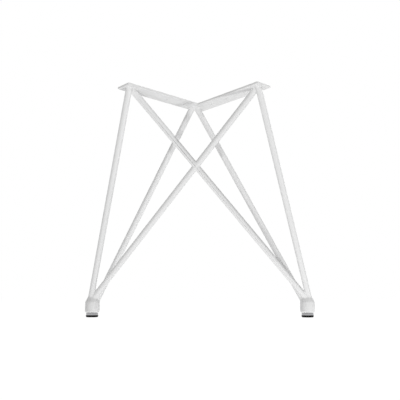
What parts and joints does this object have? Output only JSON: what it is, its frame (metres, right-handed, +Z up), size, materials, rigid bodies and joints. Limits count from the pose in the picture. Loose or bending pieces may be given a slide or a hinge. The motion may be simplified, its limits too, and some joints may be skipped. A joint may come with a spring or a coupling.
{
  "type": "x shaped table leg",
  "caption": "White welded table leg: a V of flat bar under the top, crossing round tubes spreading to turned foot sockets, and screw levelling glides.",
  "frame": {"origin": "middle of the box round the leg, at floor level", "axes": "+X to the foot on the right as seen from the open side of the V, +Y towards the corner of the V, +Z up to the table top"},
  "size_m": [0.797, 0.3764, 0.72],
  "materials": {
    "white_powder_coat": "smooth satin powder coat, white",
    "zinc_plated_steel": "satin zinc plated, turned",
    "black_plastic": "matt moulded plastic, black"
  },
  "bodies": {
    "frame": {"left_mounting_bar": "white_powder_coat", "right_mounting_bar": "white_powder_coat", "cross_tube": "white_powder_coat", "cross_tube_upper_half": "white_powder_coat", "cross_tube_lower_half": "white_powder_coat", "left_outer_tube": "white_powder_coat", "right_outer_tube": "white_powder_coat", "left_rear_tube": "white_powder_coat", "right_rear_tube": "white_powder_coat", "left_foot_socket": "white_powder_coat", "right_foot_socket": "white_powder_coat"},
    "left_glide": {"left_glide_stem": "zinc_plated_steel", "left_glide_cap": "zinc_plated_steel", "left_glide_pad": "black_plastic"},
    "right_glide": {"right_glide_stem": "zinc_plated_steel", "right_glide_cap": "zinc_plated_steel", "right_glide_pad": "black_plastic"}
  },
  "joints": [
    {"name": "left_glide_screw", "type": "slide", "parent": "frame", "child": "left_glide", "axis": [0, 0, -1], "range_m": [-0.0007, 0.012]},
    {"name": "right_glide_screw", "type": "slide", "parent": "frame", "child": "right_glide", "axis": [0, 0, -1], "range_m": [-0.0007, 0.012]}
  ]
}
